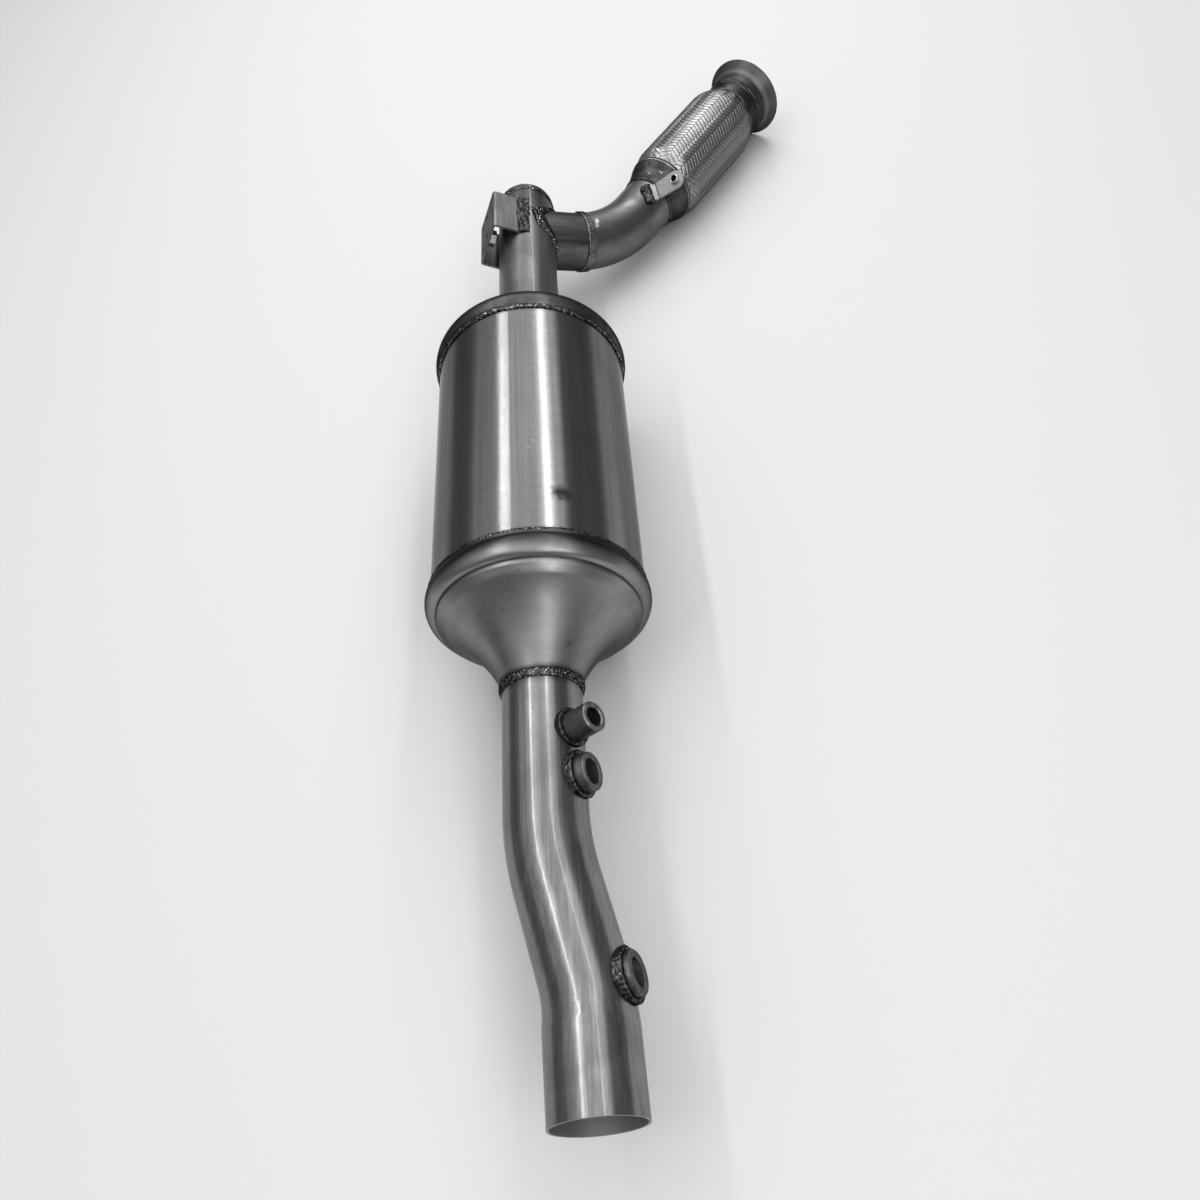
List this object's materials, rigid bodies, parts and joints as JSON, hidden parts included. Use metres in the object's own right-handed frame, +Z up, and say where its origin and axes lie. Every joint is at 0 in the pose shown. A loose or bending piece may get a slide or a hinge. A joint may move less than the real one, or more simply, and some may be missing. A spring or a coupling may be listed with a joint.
{
  "type": "diesel particulate filter",
  "caption": "Cylindrical exhaust particulate filter with a bent outlet pipe, sensor bosses, and a side inlet branch that ends in a braided flexible section with a flared clamp rim.",
  "frame": {"origin": "centre of the canister on its axis, halfway between its two end skirts", "axes": "+Y along the canister towards the inlet end, +Z up, +X to the side that the branch leaves on"},
  "size_m": [0.3603, 1.0301, 0.1624],
  "materials": {
    "shell_steel": "brushed stainless sheet",
    "pressed_steel": "satin stainless pressing",
    "pipe_steel": "satin drawn pipe",
    "branch_steel": "dull, heat-tinted pipe",
    "boss_steel": "dull turned steel, heat-tinted",
    "weld_metal": "rippled weld bead, oxidised",
    "bracket_steel": "satin folded sheet",
    "tab_steel": "matt plated sheet",
    "nut_plating": "bright plated nut",
    "braid_wire": "bright woven stainless wire",
    "flare_steel": "dull dark flared end",
    "bellows_steel": "bright corrugated foil",
    "liner_steel": "wound strip",
    "filter_ceramic": "porous fired ceramic",
    "mat_fibre": "compressed ceramic fibre mat"
  },
  "bodies": {
    "root": {"bracket_nuts": "nut_plating", "bracket_welds": "weld_metal", "branch_stub": "branch_steel", "branch_weld": "weld_metal", "canister_shell": "shell_steel", "ceramic_filter": "filter_ceramic", "clip_tab": "tab_steel", "elbow_pipe": "branch_steel", "elbow_weld": "weld_metal", "flex_bellows": "bellows_steel", "flex_braid": "braid_wire", "flex_front_ring": "branch_steel", "flex_liner": "liner_steel", "flex_rear_collar": "branch_steel", "flex_rear_weld": "weld_metal", "front_oxygen_sensor_boss": "boss_steel", "front_oxygen_sensor_weld": "weld_metal", "header_bracket": "bracket_steel", "header_cap": "pipe_steel", "header_cap_weld": "weld_metal", "header_pipe": "pipe_steel", "header_weld": "weld_metal", "inlet_cap_weld": "weld_metal", "inlet_end_cap": "pressed_steel", "inlet_flare": "flare_steel", "inlet_flare_weld": "weld_metal", "outlet_cone": "pressed_steel", "outlet_cone_weld": "weld_metal", "outlet_neck_weld": "weld_metal", "outlet_pipe": "pipe_steel", "rear_oxygen_sensor_boss": "boss_steel", "rear_oxygen_sensor_weld": "weld_metal", "support_mat": "mat_fibre", "tab_bush": "tab_steel", "tab_weld": "weld_metal", "temperature_sensor_boss": "boss_steel", "temperature_sensor_weld": "weld_metal"}
  },
  "joints": []
}
